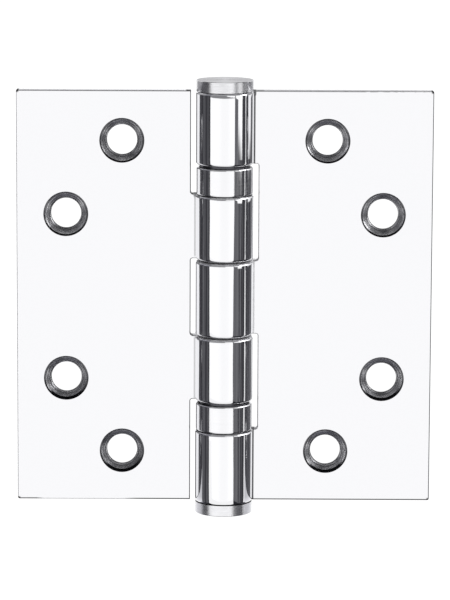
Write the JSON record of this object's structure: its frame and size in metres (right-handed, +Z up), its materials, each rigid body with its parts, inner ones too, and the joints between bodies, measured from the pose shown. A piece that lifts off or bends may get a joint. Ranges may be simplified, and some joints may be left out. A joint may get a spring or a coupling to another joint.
{
  "type": "ball bearing hinge",
  "caption": "Square-cornered full-mortise butt hinge in mirror-polished stainless steel, with thrust ball bearings between its knuckles and flat button tips.",
  "frame": {"origin": "middle of the hinge pin, which is the centre of the open hinge's box", "axes": "+Z up along the pin, +X across the frame leaf, -Y the way the countersunk faces look"},
  "size_m": [0.1142, 0.0158, 0.1204],
  "materials": {
    "polished_stainless": "mirror-polished stainless steel",
    "turned_stainless": "satin, fine turning lines",
    "hardened_steel": "ground",
    "bearing_steel": "lapped and polished",
    "cage_brass": "pressed sheet, satin"
  },
  "bodies": {
    "frame": {"frame_leaf": "polished_stainless", "hinge_pin": "turned_stainless", "bottom_tip": "turned_stainless", "upper_bearing_top_race": "hardened_steel", "lower_bearing_sleeve": "polished_stainless", "lower_bearing_bottom_race": "hardened_steel"},
    "door": {"door_leaf": "polished_stainless", "upper_bearing_sleeve": "polished_stainless", "upper_bearing_bottom_race": "hardened_steel", "lower_bearing_top_race": "hardened_steel"},
    "upper_balls": {"upper_ball_cage": "cage_brass", "upper_ball_01": "bearing_steel", "upper_ball_02": "bearing_steel", "upper_ball_03": "bearing_steel", "upper_ball_04": "bearing_steel", "upper_ball_05": "bearing_steel", "upper_ball_06": "bearing_steel", "upper_ball_07": "bearing_steel", "upper_ball_08": "bearing_steel", "upper_ball_09": "bearing_steel", "upper_ball_10": "bearing_steel"},
    "lower_balls": {"lower_ball_cage": "cage_brass", "lower_ball_01": "bearing_steel", "lower_ball_02": "bearing_steel", "lower_ball_03": "bearing_steel", "lower_ball_04": "bearing_steel", "lower_ball_05": "bearing_steel", "lower_ball_06": "bearing_steel", "lower_ball_07": "bearing_steel", "lower_ball_08": "bearing_steel", "lower_ball_09": "bearing_steel", "lower_ball_10": "bearing_steel"}
  },
  "joints": [
    {"name": "leaf_swing", "type": "hinge", "parent": "frame", "child": "door", "pos_m": [0, 0, 0], "axis": [0, 0, 1], "range_deg": [-130, 180]},
    {"name": "upper_balls_orbit", "type": "hinge", "parent": "frame", "child": "upper_balls", "pos_m": [0, 0, 0.03285], "axis": [0, 0, 1], "range_deg": [-65, 90]},
    {"name": "lower_balls_orbit", "type": "hinge", "parent": "frame", "child": "lower_balls", "pos_m": [0, 0, -0.03285], "axis": [0, 0, 1], "range_deg": [-65, 90]}
  ],
  "couplings": [
    {"joint": "upper_balls_orbit", "follows": "leaf_swing", "ratio": 0.5},
    {"joint": "lower_balls_orbit", "follows": "leaf_swing", "ratio": 0.5}
  ]
}
